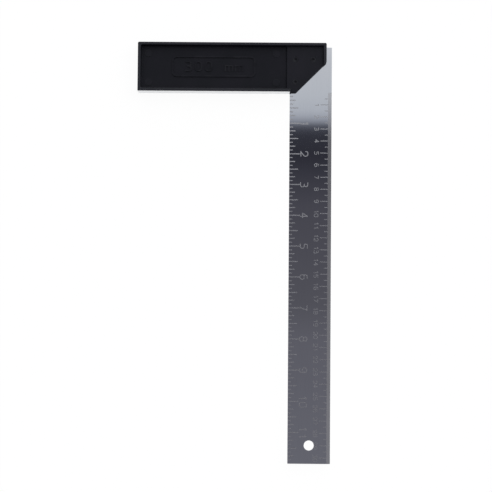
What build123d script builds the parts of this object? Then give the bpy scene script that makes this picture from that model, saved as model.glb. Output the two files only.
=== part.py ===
from build123d import *
import os

# Try square: a die-cast handle holds a flat steel rule blade at a right angle.
# Frame: the origin is the inner corner of the square, where the handle's machined inner face
# meets the blade's inner edge, on the plane that the square lies on. +X runs along the handle
# towards the blade, the blade reaches towards -Y, and +Z is up. All sizes are in millimetres.

INCH = 25.4
OVERLAP = 1.0  # how far a cutting shape runs past the face it cuts

# Handle casting
handle_back = 125.7  # from the blade's inner edge to the handle's free end
handle_over_blade = 30.2  # how far the handle reaches over the blade
handle_width = 40.8  # inner face to outer face
handle_thickness = 12.5
end_height = 15.9  # straight part of the right-hand end, above the mitre
nose_proud = 0.4  # the unmachined nose stands this far beyond the machined inner face
corner_radius = 1.2

rim_end = 2.4
rim_outer = 2.4
rim_inner = 2.4
rim_over_blade = 2.5
recess_depth = 4.3  # recess beside the blade
pad_depth = 2.8  # shallower recess over the blade
pad_start = -2.3
nose_start = 0.6  # the inner rim ends here, beside the blade's inner edge
recess_draft = 6.0  # degrees
recess_corner = 1.6
floor_radius = 1.0
pad_edge_radius = 0.4
rim_edge_radius = 0.6

# Raised label on each recess floor
frame_width = 69.0
frame_height = 17.4
frame_line = 1.3
frame_corner = 4.0
frame_x = -63.0
frame_y = 21.2
label_relief = 0.7
label_height = 8.4
label_figure_width = 5.6
label_stroke = 0.95
label_pitch = 8.4
label_text = "300 mm"

# Ejector pin marks near the corners of the recess
pin_mark_radius = 2.9
pin_mark_relief = 0.35
pin_mark_x = (-117.0, -11.2)
pin_mark_y = (8.0, 32.0)

# Steel blade
blade_width = 34.7
blade_thickness = 1.2
blade_reach = 12 * INCH  # from the handle's inner face to the free end
blade_inset = 3.0  # the blade stops this far short of the handle's outer face
blade_corner = 0.5
tang_step = 0.1  # the tang's inner edge stands back this far, clear of the end of its slot
hole_radius = 4.1
hole_from_end = 14.9

# Etching on the blade's front
etch_depth = 0.08
edge_band = 2.95  # width of the matt band along the outer edge, from the scale's zero to the end
inch_line = 0.85
inch_lengths = {8: 9.1, 4: 7.3, 2: 4.9, 1: 2.8}  # by how many eighths the graduation counts
cm_line = 0.65
cm_length = 9.1  # from the outer edge
half_cm_length = 5.6
cm_count = 30
inch_figure_height = 6.6
inch_figure_width = 4.5
inch_figure_stroke = 0.75
inch_figure_pitch = 5.7
inch_figure_start = 9.1  # from the inner edge to the foot of the figures
cm_figure_height = 3.8
cm_figure_width = 2.9
cm_figure_stroke = 0.55
cm_figure_pitch = 3.2
cm_figure_start = 14.1  # from the outer edge to the foot of the figures

# Rivets through the handle and the blade
rivet_places = [(19.1, 27.2), (4.6, 27.2), (4.6, 8.4)]
rivet_radius = 1.5
rivet_head_radius = 2.35
rivet_sunk = 0.15  # the set head lies this far under the pad
rivet_dimple_radius = 1.6
rivet_dimple_depth = 1.0

mid_z = handle_thickness / 2
pad_z = handle_thickness - pad_depth
floor_z = handle_thickness - recess_depth
blade_top_z = mid_z + blade_thickness / 2
blade_top_y = handle_width - blade_inset
nose_length = handle_over_blade - (handle_width - end_height + nose_proud)


def figure_strokes(figure, a, h):
    """The open strokes of one character as centre lines: corner points, and the radii that round them.
    a is half its width and h its height. Strokes that meet are set apart, so that none share an edge."""
    table = {
        "0": [],
        "1": [([(0.3 * a, 0), (0.3 * a, h)], []), ([(0.3 * a, 0.99 * h), (-0.4 * a, 0.78 * h)], [])],
        "2": [
            ([(-a, 0.71 * h), (-a, h), (a, h), (a, 0.5 * h), (-a, 0)], [0.75 * a, 0.95 * a, 0.6 * a]),
            ([(-0.95 * a, 0.01 * h), (a, 0.01 * h)], []),
        ],
        "3": [
            ([(-0.85 * a, h), (0.9 * a, h), (0.9 * a, 0.54 * h), (-0.2 * a, 0.54 * h)], [0.2 * h, 0.2 * h]),
            ([(-0.15 * a, 0.52 * h), (a, 0.52 * h), (a, 0), (-0.9 * a, 0)], [0.24 * h, 0.24 * h]),
        ],
        "4": [
            ([(0.45 * a, 0), (0.45 * a, 0.98 * h)], []),
            ([(0.42 * a, h), (-a, 0.3 * h), (a, 0.3 * h)], [0.05 * a]),
        ],
        "5": [
            ([(0.85 * a, h), (-0.75 * a, h), (-0.85 * a, 0.58 * h)], [0.05 * a]),
            ([(-0.8 * a, 0.57 * h), (a, 0.57 * h), (a, 0), (-0.9 * a, 0)], [0.27 * h, 0.27 * h]),
        ],
        "6": [([(-0.94 * a, 0.3 * h), (-0.94 * a, h), (0.7 * a, h)], [0.9 * a])],
        "7": [([(-a, h), (a, h), (-0.3 * a, 0)], [0.05 * a])],
        "8": [],
        "9": [([(0.94 * a, 0.7 * h), (0.94 * a, 0), (-0.7 * a, 0)], [0.9 * a])],
        "m": [
            ([(-1.3 * a, 0), (-1.3 * a, 0.62 * h)], []),
            ([(-1.3 * a, 0.59 * h), (0, 0.59 * h), (0, 0)], [0.5 * a]),
            ([(-0.6 * a, 0.595 * h), (1.3 * a, 0.595 * h), (1.3 * a, 0)], [0.5 * a]),
        ],
    }
    return table[figure]


def figure_rings(figure, a, h):
    """The closed strokes of one figure as low end, high end and half width of the centre line."""
    table = {
        "0": [(0, h, a)],
        "6": [(0, 0.58 * h, a)],
        "8": [(0, 0.54 * h, a), (0.52 * h, h, 0.88 * a)],
        "9": [(0.42 * h, h, a)],
    }
    return table.get(figure, [])


def make_figure(figure, height, width, stroke):
    """One character as a flat outline, its foot on the X axis and centred on the Y axis."""
    half_width = (width - stroke) / 2
    with BuildSketch() as outline:
        for low, high, half in figure_rings(figure, half_width, height - stroke):
            with Locations((0, (low + high + stroke) / 2)):
                add(make_ring(2 * half, high - low, stroke))
        for points, radii in figure_strokes(figure, half_width, height - stroke):
            with BuildLine() as centre:
                if radii:
                    FilletPolyline(*points, radius=radii)
                else:
                    Line(*points)
            with Locations((0, stroke / 2)):
                SlotArc(centre.wires()[0], stroke)
    return outline.sketch


def make_ring(width, height, stroke):
    """A closed round stroke whose centre line has this width and height."""
    radius = 0.9 * min(width, height) / 2
    with BuildSketch() as ring:
        RectangleRounded(width + stroke, height + stroke, radius + stroke / 2)
        RectangleRounded(width - stroke, height - stroke, radius - stroke / 2, mode=Mode.SUBTRACT)
    return ring.sketch


def engrave_numbers(numbers, foot_x, spacing, pitch, height, width, stroke):
    """Adds numbers to the open sketch, turned to be read along -Y, each centred on its line."""
    places = {}
    for number in numbers:
        digits = str(number)
        for index, digit in enumerate(digits):
            along = (index - (len(digits) - 1) / 2) * pitch
            place = Location((foot_x, -number * spacing - along, 0), (0, 0, -90))
            places.setdefault(digit, []).append(place)
    for digit, spots in places.items():
        shape = make_figure(digit, height, width, stroke)
        with Locations(*spots):
            add(shape)


def engrave_lines(distances, from_x, to_x, line):
    """Adds graduation lines to the open sketch, square to the blade's edge."""
    with Locations(*[((from_x + to_x) / 2, -distance) for distance in distances]):
        Rectangle(abs(to_x - from_x), line)


def level_face(part, height):
    """The part's upward flat face at this height."""
    return part.faces().filter_by(Axis.Z).filter_by_position(Axis.Z, height - 0.01, height + 0.01)[0]


def raise_label(plane):
    """Raises the size label from a recess floor, to be read from outside."""
    with BuildSketch(plane) as label:
        with Locations((-label_pitch * (len(label_text) - 1) / 2, -label_height / 2)):
            for index, character in enumerate(label_text):
                if character != " ":
                    with Locations((index * label_pitch, 0)):
                        add(make_figure(character, label_height, label_figure_width, label_stroke))
    extrude(label.sketch, amount=label_relief)


# Handle: the half above the blade's middle plane is modelled and then mirrored
with BuildPart() as handle:
    with BuildSketch(Plane.XY.offset(mid_z)):
        with BuildLine():
            Polyline(
                (-handle_back, -nose_proud),
                (nose_length, -nose_proud),
                (handle_over_blade, handle_width - end_height),
                (handle_over_blade, handle_width),
                (-handle_back, handle_width),
                close=True,
            )
        make_face()
        fillet(vertices(), corner_radius)
    extrude(amount=handle_thickness - mid_z)

    # recess beside the blade
    recess_top = handle_width - rim_outer
    with BuildSketch(Plane.XY.offset(handle_thickness)):
        with Locations(((pad_start - handle_back + rim_end) / 2, (recess_top + rim_inner) / 2)):
            RectangleRounded(handle_back + pad_start - rim_end, recess_top - rim_inner, recess_corner)
    extrude(amount=-recess_depth, taper=recess_draft, mode=Mode.SUBTRACT)

    # shallower recess over the blade, open along the mitre and the nose
    pad_end = handle_over_blade - rim_over_blade
    below_mitre = handle_width - end_height - 2 * rim_over_blade
    with BuildSketch(Plane.XY.offset(handle_thickness)):
        with BuildLine():
            Polyline(
                (pad_start - 2 * recess_corner, rim_inner),
                (pad_start - 2 * recess_corner, recess_top),
                (pad_end, recess_top),
                (pad_end, below_mitre),
                (handle_over_blade + OVERLAP, below_mitre),
                (handle_over_blade + OVERLAP, -2 * OVERLAP),
                (nose_start, -2 * OVERLAP),
                (nose_start, rim_inner),
                close=True,
            )
        make_face()
    extrude(amount=-pad_depth, taper=recess_draft, mode=Mode.SUBTRACT)

    fillet(level_face(handle, floor_z).edges(), floor_radius)
    fillet(level_face(handle, pad_z).edges(), pad_edge_radius)
    fillet(level_face(handle, handle_thickness).edges(), rim_edge_radius)

    # the inner face is machined up to the blade, which leaves the nose proud
    with BuildSketch(Plane.XY.offset(mid_z)):
        Rectangle(handle_back + OVERLAP, nose_proud + OVERLAP, align=(Align.MAX, Align.MAX))
    extrude(amount=handle_thickness, mode=Mode.SUBTRACT)

    with BuildSketch(Plane.XY.offset(floor_z)):
        with Locations(*[(x, y) for x in pin_mark_x for y in pin_mark_y]):
            Circle(pin_mark_radius)
    extrude(amount=pin_mark_relief)
    with BuildSketch(Plane.XY.offset(floor_z)):
        with Locations((frame_x, frame_y)):
            RectangleRounded(frame_width, frame_height, frame_corner)
            RectangleRounded(
                frame_width - 2 * frame_line,
                frame_height - 2 * frame_line,
                frame_corner - frame_line,
                mode=Mode.SUBTRACT,
            )
    extrude(amount=label_relief)
    mirror(about=Plane.XY.offset(mid_z))

    raise_label(Plane((frame_x, frame_y, floor_z), x_dir=(1, 0, 0), z_dir=(0, 0, 1)))
    raise_label(Plane((frame_x, frame_y, recess_depth), x_dir=(-1, 0, 0), z_dir=(0, 0, -1)))

    # slot that takes the blade
    with BuildSketch(Plane.XY.offset(mid_z - blade_thickness / 2)):
        with Locations((0, -nose_proud - OVERLAP)):
            Rectangle(
                handle_over_blade + OVERLAP,
                blade_top_y + nose_proud + OVERLAP,
                align=(Align.MIN, Align.MIN),
            )
    extrude(amount=blade_thickness, mode=Mode.SUBTRACT)
    for x, y in rivet_places:
        for way in (1, -1):
            with Locations(Plane((x, y, mid_z + way * (pad_z - mid_z)), z_dir=(0, 0, way))):
                CounterSinkHole(rivet_radius, rivet_head_radius + rivet_sunk, depth=pad_z - mid_z)
handle.part.label = "handle"

# Blade: flat ground steel with etched scales
with BuildPart() as blade:
    with BuildSketch(Plane.XY.offset(mid_z - blade_thickness / 2)):
        with Locations((0, -blade_reach)):
            Rectangle(blade_width, blade_reach, align=(Align.MIN, Align.MIN))
        with Locations((tang_step, 0)):
            Rectangle(blade_width - tang_step, blade_top_y, align=(Align.MIN, Align.MIN))
        end_corners = vertices().group_by(Axis.Y)
        fillet(end_corners[0] + end_corners[-1], blade_corner)
    extrude(amount=blade_thickness)
    with Locations((blade_width / 2, hole_from_end - blade_reach, blade_top_z)):
        Hole(hole_radius)
    with Locations(*[(x, y, blade_top_z) for x, y in rivet_places]):
        Hole(rivet_radius)
    with BuildSketch(Plane.XY.offset(blade_top_z)):
        with Locations((blade_width - edge_band, -blade_reach - OVERLAP)):
            Rectangle(edge_band + OVERLAP, blade_reach + OVERLAP, align=(Align.MIN, Align.MIN))
        eighths = range(1, 12 * 8)
        for step, length in inch_lengths.items():
            counted = [n for n in eighths if n % step == 0 and (step == 8 or n % (2 * step) != 0)]
            engrave_lines([n * INCH / 8 for n in counted], -OVERLAP, length, inch_line)
        whole = [10 * n for n in range(1, cm_count + 1)]
        halves = [10 * n - 5 for n in range(1, cm_count + 1)]
        engrave_lines(whole, blade_width - cm_length, blade_width, cm_line)
        engrave_lines(halves, blade_width - half_cm_length, blade_width, cm_line)
        engrave_numbers(
            range(1, 12),
            inch_figure_start,
            INCH,
            inch_figure_pitch,
            inch_figure_height,
            inch_figure_width,
            inch_figure_stroke,
        )
        engrave_numbers(
            range(1, cm_count + 1),
            blade_width - cm_figure_start,
            10,
            cm_figure_pitch,
            cm_figure_height,
            cm_figure_width,
            cm_figure_stroke,
        )
    extrude(amount=-etch_depth, mode=Mode.SUBTRACT)
blade.part.label = "blade"

os.makedirs("parts", exist_ok=True)
export_step(handle.part, "parts/handle.step")
export_step(blade.part, "parts/blade.step")

# Rivets: steel, with a countersunk head set at both ends
for number, (x, y) in enumerate(rivet_places, start=1):
    with BuildPart() as rivet:
        half_length = pad_z - rivet_sunk - mid_z
        with BuildSketch(Plane.XZ.offset(-y)):
            with BuildLine():
                Polyline(
                    (x, mid_z),
                    (x + rivet_radius, mid_z),
                    (x + rivet_radius, mid_z + half_length - (rivet_head_radius - rivet_radius)),
                    (x + rivet_head_radius, mid_z + half_length),
                    (x + rivet_dimple_radius, mid_z + half_length),
                    (x, mid_z + half_length - rivet_dimple_depth),
                    close=True,
                )
            make_face()
        revolve(axis=Axis((x, y, 0), (0, 0, 1)))
        mirror(about=Plane.XY.offset(mid_z))
    rivet.part.label = f"rivet_{number}"
    export_step(rivet.part, f"parts/rivet_{number}.step")
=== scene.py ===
import math

import bpy
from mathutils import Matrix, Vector


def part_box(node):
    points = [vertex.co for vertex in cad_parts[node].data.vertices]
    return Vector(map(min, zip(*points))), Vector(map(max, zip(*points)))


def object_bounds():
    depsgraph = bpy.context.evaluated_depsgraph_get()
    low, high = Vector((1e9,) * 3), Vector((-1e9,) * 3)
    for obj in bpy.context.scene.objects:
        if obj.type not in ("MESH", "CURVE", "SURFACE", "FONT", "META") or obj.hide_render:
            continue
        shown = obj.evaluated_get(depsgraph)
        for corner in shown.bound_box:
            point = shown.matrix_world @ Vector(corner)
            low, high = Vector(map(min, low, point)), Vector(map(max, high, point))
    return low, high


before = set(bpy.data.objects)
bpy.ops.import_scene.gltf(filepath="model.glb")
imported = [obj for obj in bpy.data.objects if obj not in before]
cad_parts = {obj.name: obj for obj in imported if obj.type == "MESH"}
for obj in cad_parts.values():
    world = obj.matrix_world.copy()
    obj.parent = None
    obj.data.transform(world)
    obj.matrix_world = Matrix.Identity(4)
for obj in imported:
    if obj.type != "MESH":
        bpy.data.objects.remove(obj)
cad_low, cad_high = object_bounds()

# The frame is in metres. Its origin is the inner corner of the square, on the floor.
MM = 0.001
handle_low, handle_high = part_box("handle")
blade_low, blade_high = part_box("blade")

# Sizes in the CAD part that tell its surfaces apart
RIM_ROUNDING = 0.6 * MM
PAD_DEPTH = 2.8 * MM  # the recess over the blade, below the rims
PIN_MARK_DEPTH = 3.95 * MM
LEVEL_MARGIN = 0.05 * MM  # how far a floor may lie from those depths
PLANE_MARGIN = 0.01 * MM  # how far the machined face may lie from the origin's plane
ETCH_DEPTH = 0.08 * MM
EDGE_BAND = 2.96 * MM  # just past the inner side of the blade's matt band
FLAT = 0.9  # a face lies flat when its normal is at least this upright
SQUARE_ON = 0.99  # and the machined face looks along -Y at least this nearly
SLOPING = 0.1  # a rounded edge leans at least this much in each direction

# Material slots, in the order in which the handle and the blade get them
PAINT, MACHINED, RIM, PIN_MARK, PAD, MITRE_EDGE = range(6)
POLISHED, ETCHED, BAND, SHEARED = range(4)

# Black paint: tints that its shade is multiplied by, and how its outer edges take wear, painted
# highlight and painted shade
DARK_TINT = (0.74, 0.80, 1.10)
LIGHT_TINT = (1.10, 1.07, 1.52)
WEAR_AND_HIGHLIGHT_REACH = 1.0 * MM
WEAR_AND_HIGHLIGHT_SAMPLES = 8
# the outer edges' colour: edge wear together with a painted highlight
WORN_AND_HIGHLIT_EDGE = (0.036, 0.037, 0.045, 1)
# the rims' edges: darker than the rim paint, painted shade
RIM_EDGE_SHADE = (0.019, 0.0195, 0.026, 1)
# the mitre's edge: edge wear together with a painted highlight
MITRE_WEAR_AND_HIGHLIGHT = (0.11, 0.112, 0.125, 1)

# Camera: nearly overhead, aimed at the middle of the square, with its angles in degrees
CAMERA_PLACE = (-25.4 * MM, -199.8 * MM, 1238.1 * MM)
CAMERA_TILT = 3.373
CAMERA_YAW = 0.424
CAMERA_ROLL = 0.476
SENSOR_WIDTH = 36.0
LENS = 109.76

# Floor
FLOOR_REACH = 6.0
FLOOR_COLOUR = (0.16, 0.16, 0.16, 1)
FLOOR_GLOW = 0.93

# Studio light: the tent's brightness, from away from the key light (0) to towards it (1)
KEY_DIRECTION = (0.3, 0.8, 0.5)
TENT_SHADES = [
    (0.0, 0.12),
    (0.5, 0.17),
    (0.75, 0.45),
    (0.9, 0.88),
    (1.0, 0.95),
]

# The opening overhead, by slope: 0 is straight up, and it grows towards the handle's side
OVERHEAD_SHADES = [
    (-0.50, (0.26, 0.26, 0.28)),
    (-0.20, (0.235, 0.232, 0.262)),
    (-0.083, (0.205, 0.205, 0.238)),
    (-0.004, (0.172, 0.170, 0.200)),
    (0.020, (0.134, 0.132, 0.155)),
    (0.085, (0.098, 0.096, 0.118)),
    (0.108, (0.060, 0.060, 0.078)),
    (0.120, (0.040, 0.040, 0.054)),
    (0.1355, (0.050, 0.052, 0.068)),
    (0.1399, (0.125, 0.132, 0.165)),
    (0.1425, (0.34, 0.36, 0.42)),
    (0.1455, (0.51, 0.535, 0.60)),
    (0.150, (0.64, 0.67, 0.73)),
    (0.160, (0.71, 0.74, 0.79)),
    (0.183, (0.77, 0.79, 0.83)),
    (0.205, (0.95, 0.965, 1.0)),
    (0.40, (0.95, 0.965, 1.0)),
]
OPENING_SIDES = (0.3, 0.8)  # the slopes to either side between which the opening fades out
OPENING_FADE = 0.1  # and how much slope it fades over at its two ends
LEAST_HEIGHT = 0.02  # keeps the slopes finite at the horizon and below it

# Input and output sockets of a Mix node in its colour mode
MIX_FIRST, MIX_SECOND, MIX_RESULT = 6, 7, 2


# ---------------------------------------------------------------- node helpers


def new_material(name):
    """A new node material, its nodes, its links and its shader."""
    material = bpy.data.materials.new(name)
    material.use_nodes = True
    nodes = material.node_tree.nodes
    links = material.node_tree.links
    shader = nodes["Principled BSDF"]
    return material, nodes, links, shader


def stretched_noise(nodes, links, scale, stretch=(1, 1, 1), detail=3.0, roughness=0.5):
    """Noise in object space, drawn out along each axis where stretch is under 1."""
    place = nodes.new("ShaderNodeTexCoord")
    mapping = nodes.new("ShaderNodeMapping")
    mapping.inputs["Scale"].default_value = stretch
    noise = nodes.new("ShaderNodeTexNoise")
    noise.inputs["Scale"].default_value = scale
    noise.inputs["Detail"].default_value = detail
    noise.inputs["Roughness"].default_value = roughness
    links.new(place.outputs["Object"], mapping.inputs["Vector"])
    links.new(mapping.outputs["Vector"], noise.inputs["Vector"])
    return noise.outputs["Fac"]


def ramp(nodes, links, source, stops):
    """A colour ramp with these (place, grey or colour) stops."""
    node = nodes.new("ShaderNodeValToRGB")
    elements = node.color_ramp.elements
    while len(elements) < len(stops):
        elements.new(0.5)
    for element, (place, colour) in zip(elements, stops):
        element.position = place
        element.color = colour if isinstance(colour, tuple) else (colour, colour, colour, 1)
    links.new(source, node.inputs["Fac"])
    return node.outputs["Color"]


def noise_colour(nodes, links, noise, dark, light):
    """A colour between dark and light, over the range in which noise mostly falls."""
    return ramp(nodes, links, noise, [(0.3, dark), (0.7, light)])


def map_range(nodes, links, source, low, high, from_low=0.0, from_high=1.0):
    """Spreads a value between low and high."""
    node = nodes.new("ShaderNodeMapRange")
    node.inputs["From Min"].default_value = from_low
    node.inputs["From Max"].default_value = from_high
    node.inputs["To Min"].default_value = low
    node.inputs["To Max"].default_value = high
    links.new(source, node.inputs["Value"])
    return node.outputs["Result"]


def smooth_step(nodes, links, source, low, high):
    """0 where the source is at low, 1 where it is at high, and smooth between."""
    node = nodes.new("ShaderNodeMapRange")
    node.interpolation_type = "SMOOTHSTEP"
    node.inputs["From Min"].default_value = low
    node.inputs["From Max"].default_value = high
    links.new(source, node.inputs["Value"])
    return node.outputs["Result"]


def bump(nodes, links, height, distance, strength, normal=None):
    """A bump node over an optional earlier one."""
    node = nodes.new("ShaderNodeBump")
    node.inputs["Distance"].default_value = distance
    node.inputs["Strength"].default_value = strength
    links.new(height, node.inputs["Height"])
    if normal is not None:
        links.new(normal, node.inputs["Normal"])
    return node.outputs["Normal"]


def mix_colours(nodes, links, factor, first, second):
    """Blends two colours, each a socket or an RGBA value."""
    node = nodes.new("ShaderNodeMix")
    node.data_type = "RGBA"
    links.new(factor, node.inputs["Factor"])
    sockets = (node.inputs[MIX_FIRST], node.inputs[MIX_SECOND])
    for socket, value in zip(sockets, (first, second)):
        if isinstance(value, tuple):
            socket.default_value = value
        else:
            links.new(value, socket)
    return node.outputs[MIX_RESULT]


def math_node(nodes, links, kind, *values):
    """One arithmetic step on sockets or numbers."""
    node = nodes.new("ShaderNodeMath")
    node.operation = kind
    for socket, value in zip(node.inputs, values):
        if isinstance(value, (int, float)):
            socket.default_value = value
        else:
            links.new(value, socket)
    return node.outputs[0]


def edge_wear_and_highlight(nodes, links, reach):
    """Where the outer edges take their wear and painted highlight: up to 1 on them, in patches,
    and 0 beyond reach.
    """
    inside = nodes.new("ShaderNodeAmbientOcclusion")
    inside.inside = True
    inside.only_local = True
    inside.samples = WEAR_AND_HIGHLIGHT_SAMPLES
    inside.inputs["Distance"].default_value = reach
    thinness = math_node(nodes, links, "SUBTRACT", 1.0, inside.outputs["AO"])
    near_edge = smooth_step(nodes, links, thinness, low=0.08, high=0.5)
    noise = stretched_noise(nodes, links, scale=120)
    patches = smooth_step(nodes, links, noise, low=0.35, high=0.7)
    return math_node(nodes, links, "MULTIPLY", near_edge, patches)


# ---------------------------------------------------------------- materials


def black_paint(name, shade, rough, gloss, edge_colour=WORN_AND_HIGHLIT_EDGE):
    """Black enamel on die-cast metal: faint orange peel, uneven gloss, and outer edges in the edge
    colour given, by default edge wear with a painted highlight.
    """
    material, nodes, links, shader = new_material(name)
    peel = stretched_noise(nodes, links, scale=900, detail=2.0)
    cloud = stretched_noise(nodes, links, scale=45, detail=4.0)
    grain = stretched_noise(nodes, links, scale=2600, detail=2.0)
    dark, light = [(*(shade * part for part in tint), 1) for tint in (DARK_TINT, LIGHT_TINT)]
    fresh = noise_colour(nodes, links, cloud, dark, light)
    wear_and_highlight_mask = edge_wear_and_highlight(nodes, links, WEAR_AND_HIGHLIGHT_REACH)
    # the outer edges take the edge colour: wear and a painted highlight by default, painted shade
    # on the rims
    colour = mix_colours(nodes, links, wear_and_highlight_mask, fresh, edge_colour)
    roughness = map_range(nodes, links, cloud, low=rough - 0.07, high=rough + 0.07)
    normal = bump(nodes, links, peel, distance=0.03 * MM, strength=0.5)
    normal = bump(nodes, links, grain, distance=0.008 * MM, strength=0.5, normal=normal)
    links.new(colour, shader.inputs["Base Color"])
    links.new(roughness, shader.inputs["Roughness"])
    links.new(normal, shader.inputs["Normal"])
    shader.inputs["Specular IOR Level"].default_value = gloss
    shader.inputs["Specular Tint"].default_value = (0.94, 0.97, 1.0, 1)
    return material


def machined_metal():
    """Bare die-cast alloy, milled along the handle."""
    material, nodes, links, shader = new_material("machined_alloy")
    lines = stretched_noise(nodes, links, scale=900, stretch=(0.02, 1, 2.2))
    cloud = stretched_noise(nodes, links, scale=60, stretch=(0.4, 1, 1))
    dark = (0.70, 0.71, 0.73, 1)
    light = (0.82, 0.83, 0.84, 1)
    colour = noise_colour(nodes, links, lines, dark, light)
    roughness = map_range(nodes, links, cloud, low=0.28, high=0.42)
    normal = bump(nodes, links, lines, distance=0.01 * MM, strength=0.6)
    links.new(colour, shader.inputs["Base Color"])
    links.new(roughness, shader.inputs["Roughness"])
    links.new(normal, shader.inputs["Normal"])
    shader.inputs["Metallic"].default_value = 1.0
    return material


def polished_steel():
    """Ground and polished blade steel: fine grain along the blade on a slightly wavy surface."""
    material, nodes, links, shader = new_material("polished_steel")
    grain = stretched_noise(
        nodes, links, scale=2200, stretch=(1, 0.012, 1), detail=4.0, roughness=0.6
    )
    haze = stretched_noise(nodes, links, scale=30, stretch=(1, 0.6, 1))
    wave = stretched_noise(nodes, links, scale=26, stretch=(1, 0.5, 1), detail=1.0)
    dark = (0.585, 0.595, 0.62, 1)
    light = (0.625, 0.635, 0.655, 1)
    colour = noise_colour(nodes, links, grain, dark, light)
    roughness = map_range(nodes, links, haze, low=0.012, high=0.03)
    normal = bump(nodes, links, wave, distance=0.02 * MM, strength=0.4)
    normal = bump(nodes, links, grain, distance=0.0002 * MM, strength=0.5, normal=normal)
    links.new(colour, shader.inputs["Base Color"])
    links.new(roughness, shader.inputs["Roughness"])
    links.new(normal, shader.inputs["Normal"])
    shader.inputs["Metallic"].default_value = 1.0
    return material


def etched_steel(name, shade, metallic, rough):
    """Matt steel: the floors of the etched lines and figures, or the band along the edge."""
    material, nodes, links, shader = new_material(name)
    frost = stretched_noise(nodes, links, scale=4200, detail=2.0)
    cloud = stretched_noise(nodes, links, scale=120, stretch=(1, 0.4, 1))
    dark, light = [(0.97 * tone, 0.97 * tone, tone, 1) for tone in (0.95 * shade, 1.05 * shade)]
    colour = noise_colour(nodes, links, cloud, dark, light)
    roughness = map_range(nodes, links, frost, low=0.8 * rough, high=1.2 * rough)
    normal = bump(nodes, links, frost, distance=0.002 * MM, strength=0.3)
    links.new(colour, shader.inputs["Base Color"])
    links.new(roughness, shader.inputs["Roughness"])
    links.new(normal, shader.inputs["Normal"])
    shader.inputs["Metallic"].default_value = metallic
    return material


def sheared_steel():
    """The blade's narrow edges and the hole's wall, ground across."""
    material, nodes, links, shader = new_material("sheared_steel")
    grain = stretched_noise(nodes, links, scale=1500, stretch=(1, 1, 0.08), detail=4.0)
    dark = (0.42, 0.43, 0.45, 1)
    light = (0.55, 0.56, 0.58, 1)
    colour = noise_colour(nodes, links, grain, dark, light)
    roughness = map_range(nodes, links, grain, low=0.25, high=0.4)
    normal = bump(nodes, links, grain, distance=0.01 * MM, strength=0.5)
    links.new(colour, shader.inputs["Base Color"])
    links.new(roughness, shader.inputs["Roughness"])
    links.new(normal, shader.inputs["Normal"])
    shader.inputs["Metallic"].default_value = 1.0
    return material


def dress(node, materials, choose):
    """Gives a CAD node its materials, and each of its faces the one that choose names."""
    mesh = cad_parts[node].data
    mesh.materials.clear()
    for material in materials:
        mesh.materials.append(material)
    for face in mesh.polygons:
        face.material_index = choose(face)


def handle_face(face):
    """The slot of one face of the handle: bare on the inner face, and painted elsewhere."""
    place = face.center
    normal = face.normal
    if abs(place.y) < PLANE_MARGIN and normal.y < -SQUARE_ON:
        return MACHINED
    below_rim = min(handle_high.z - place.z, place.z - handle_low.z)
    # the rims take a lighter copy of the paint, a painted highlight
    if below_rim < RIM_ROUNDING:
        return RIM
    if abs(normal.z) > FLAT:
        if abs(below_rim - PIN_MARK_DEPTH) < LEVEL_MARGIN:
            return PIN_MARK
        # the pad takes a lighter copy of the paint, painted light
        if abs(below_rim - PAD_DEPTH) < LEVEL_MARGIN:
            return PAD
    # the mitre's rounded edge takes a much lighter copy of the paint: wear and a painted highlight
    faces_mitre = normal.x > SLOPING and normal.y < -SLOPING and place.x > 0
    if faces_mitre and abs(normal.z) > SLOPING:
        return MITRE_EDGE
    return PAINT


def blade_face(face):
    """The slot of one face of the blade: the etching and the band lie just under its front."""
    below_front = blade_high.z - face.center.z
    if 0.1 * ETCH_DEPTH < below_front < 1.1 * ETCH_DEPTH:
        in_band = face.center.x > blade_high.x - EDGE_BAND
        return BAND if in_band else ETCHED
    return POLISHED if abs(face.normal.z) > FLAT else SHEARED


# ---------------------------------------------------------------- stage


def make_floor():
    """A plain pale floor, bright enough to stay white beside the tool."""
    material, nodes, links, shader = new_material("floor_white")
    shader.inputs["Base Color"].default_value = FLOOR_COLOUR
    shader.inputs["Roughness"].default_value = 1.0
    shader.inputs["Specular IOR Level"].default_value = 0.0
    shader.inputs["Emission Color"].default_value = (1, 1, 1, 1)
    shader.inputs["Emission Strength"].default_value = FLOOR_GLOW
    signs = [(-1, -1), (1, -1), (1, 1), (-1, 1)]
    corners = [(x * FLOOR_REACH, y * FLOOR_REACH, cad_low.z) for x, y in signs]
    mesh = bpy.data.meshes.new("floor")
    mesh.from_pydata(corners, [], [(0, 1, 2, 3)])
    mesh.materials.append(material)
    floor = bpy.data.objects.new("floor", mesh)
    bpy.context.collection.objects.link(floor)


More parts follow.
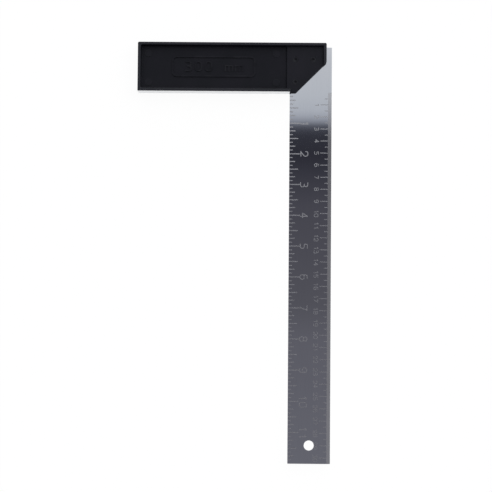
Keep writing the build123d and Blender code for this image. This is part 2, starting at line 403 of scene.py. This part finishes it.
def make_studio():
    """A white tent with a key light beyond the handle and a dark opening overhead."""
    world = bpy.data.worlds.new("studio")
    bpy.context.scene.world = world
    world.use_nodes = True
    nodes = world.node_tree.nodes
    links = world.node_tree.links
    background = nodes["Background"]
    place = nodes.new("ShaderNodeTexCoord")
    direction = place.outputs["Generated"]
    parts = nodes.new("ShaderNodeSeparateXYZ")
    links.new(direction, parts.inputs["Vector"])

    # the tent
    key = nodes.new("ShaderNodeVectorMath")
    key.operation = "DOT_PRODUCT"
    links.new(direction, key.inputs[0])
    key.inputs[1].default_value = Vector(KEY_DIRECTION).normalized()
    nearness = map_range(
        nodes, links, key.outputs["Value"], low=0, high=1, from_low=-1, from_high=1
    )
    tent = ramp(nodes, links, nearness, TENT_SHADES)

    # the opening
    height = math_node(nodes, links, "MAXIMUM", parts.outputs["Z"], LEAST_HEIGHT)
    slope = math_node(nodes, links, "DIVIDE", parts.outputs["Y"], height)
    across = math_node(nodes, links, "DIVIDE", parts.outputs["X"], height)
    first = OVERHEAD_SHADES[0][0]
    last = OVERHEAD_SHADES[-1][0]
    stops = [((at - first) / (last - first), (*colour, 1)) for at, colour in OVERHEAD_SHADES]
    along = map_range(nodes, links, slope, low=0, high=1, from_low=first, from_high=last)
    overhead = ramp(nodes, links, along, stops)

    # the opening fades into the tent on all four sides
    sideways = math_node(nodes, links, "ABSOLUTE", across)
    aside = smooth_step(nodes, links, sideways, *OPENING_SIDES)
    beyond = smooth_step(nodes, links, slope, low=last - OPENING_FADE, high=last)
    before = smooth_step(nodes, links, slope, low=first + OPENING_FADE, high=first)
    off_the_ends = math_node(nodes, links, "MAXIMUM", beyond, before)
    outside = math_node(nodes, links, "MAXIMUM", aside, off_the_ends)
    light = mix_colours(nodes, links, outside, overhead, tent)
    links.new(light, background.inputs["Color"])
    background.inputs["Strength"].default_value = 1.0


def make_camera():
    """The photograph's viewpoint."""
    data = bpy.data.cameras.new("camera")
    data.sensor_width = SENSOR_WIDTH
    data.lens = LENS
    camera = bpy.data.objects.new("camera", data)
    bpy.context.collection.objects.link(camera)
    camera.location = CAMERA_PLACE
    camera.rotation_euler = [math.radians(a) for a in (CAMERA_TILT, CAMERA_YAW, CAMERA_ROLL)]
    bpy.context.scene.camera = camera


make_camera()
make_studio()
make_floor()
bpy.context.scene.view_settings.view_transform = "Standard"

handle_materials = {
    PAINT: black_paint("black_paint", shade=0.0191, rough=0.5, gloss=0.15),
    # rims: a lighter copy of the paint, a painted highlight, with painted shade on their edges
    RIM: black_paint("rim_lit_paint", shade=0.025, rough=0.36, gloss=0.38, edge_colour=RIM_EDGE_SHADE),
    PIN_MARK: black_paint("pin_mark_paint", shade=0.0208, rough=0.47, gloss=0.17),
    # pad: a lighter copy of the paint, painted light on the shallower recess over the blade
    PAD: black_paint("pad_lit_paint", shade=0.0212, rough=0.48, gloss=0.18),
    # mitre's rounded edge: a much lighter copy of the paint, wear together with a painted
    # highlight
    MITRE_EDGE: black_paint("mitre_edge_lit_paint", shade=0.05, rough=0.4, gloss=0.4, edge_colour=MITRE_WEAR_AND_HIGHLIGHT),
    MACHINED: machined_metal(),
}
dress("handle", [handle_materials[slot] for slot in sorted(handle_materials)], handle_face)

blade_materials = {
    ETCHED: etched_steel("etched_steel", shade=0.60, metallic=0.79, rough=0.22),
    BAND: etched_steel("ground_band", shade=0.62, metallic=0.62, rough=0.06),
    POLISHED: polished_steel(),
    SHEARED: sheared_steel(),
}
dress("blade", [blade_materials[slot] for slot in sorted(blade_materials)], blade_face)

# rivets: a darker copy of the paint, painted shade in their dimples
rivet_paint = black_paint("rivet_paint", shade=0.016, rough=0.48, gloss=0.2)
for name in sorted(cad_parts):
    if name.startswith("rivet_"):
        dress(name, [rivet_paint], lambda face: PAINT)

bpy.context.view_layer.update()
